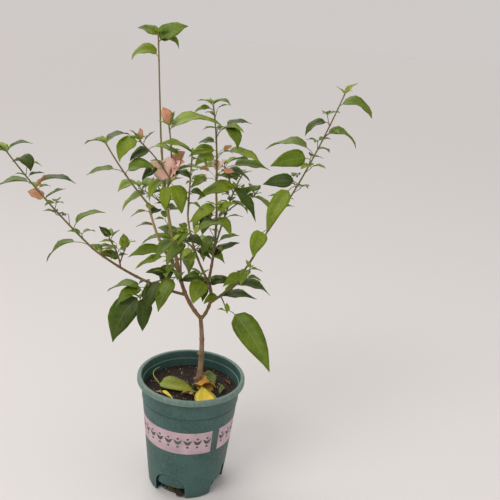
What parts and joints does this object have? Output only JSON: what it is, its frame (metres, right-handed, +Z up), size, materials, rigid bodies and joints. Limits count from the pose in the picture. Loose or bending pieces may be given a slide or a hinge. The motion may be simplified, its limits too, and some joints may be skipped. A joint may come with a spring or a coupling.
{
  "type": "bougainvillea bush",
  "caption": "Young bougainvillea in a round nursery pot: slim forked trunk, long arching boughs and open foliage with papery bracts.",
  "frame": {"origin": "middle of the pot's flat underside", "axes": "+Z up, +X to the right and -Y towards the front as pictured"},
  "size_m": [0.4546, 0.2083, 0.6011],
  "materials": {
    "pot": "weathered satin",
    "soil": "loose and damp",
    "fallen_leaf": "dull",
    "bark": "matt, finely cracked",
    "foliage": "satin leaf"
  },
  "bodies": {
    "root": {"pot": "pot", "soil": "soil", "fallen_leaf_olive": "fallen_leaf", "fallen_leaf_yellow": "fallen_leaf", "fallen_leaf_ochre": "fallen_leaf", "fallen_leaf_small": "fallen_leaf", "trunk": "bark", "left_bough": "bark", "right_bough": "bark", "leader": "bark", "upper_left_bough": "bark", "upper_right_bough": "bark", "middle_bough": "bark", "right_long_bough": "bark", "left_long_bough": "bark", "foliage_top": "foliage", "foliage_upper_left": "foliage", "foliage_upper_right": "foliage", "foliage_right": "foliage", "foliage_left": "foliage", "foliage_left_inner": "foliage", "foliage_low_left": "foliage", "foliage_low_right": "foliage", "foliage_fork": "foliage", "foliage_blossom": "foliage", "foliage_middle": "foliage", "foliage_middle_right": "foliage", "foliage_middle_left": "foliage", "foliage_back_left": "foliage", "foliage_back_right": "foliage", "foliage_back_low": "foliage", "foliage_front": "foliage"}
  },
  "joints": []
}
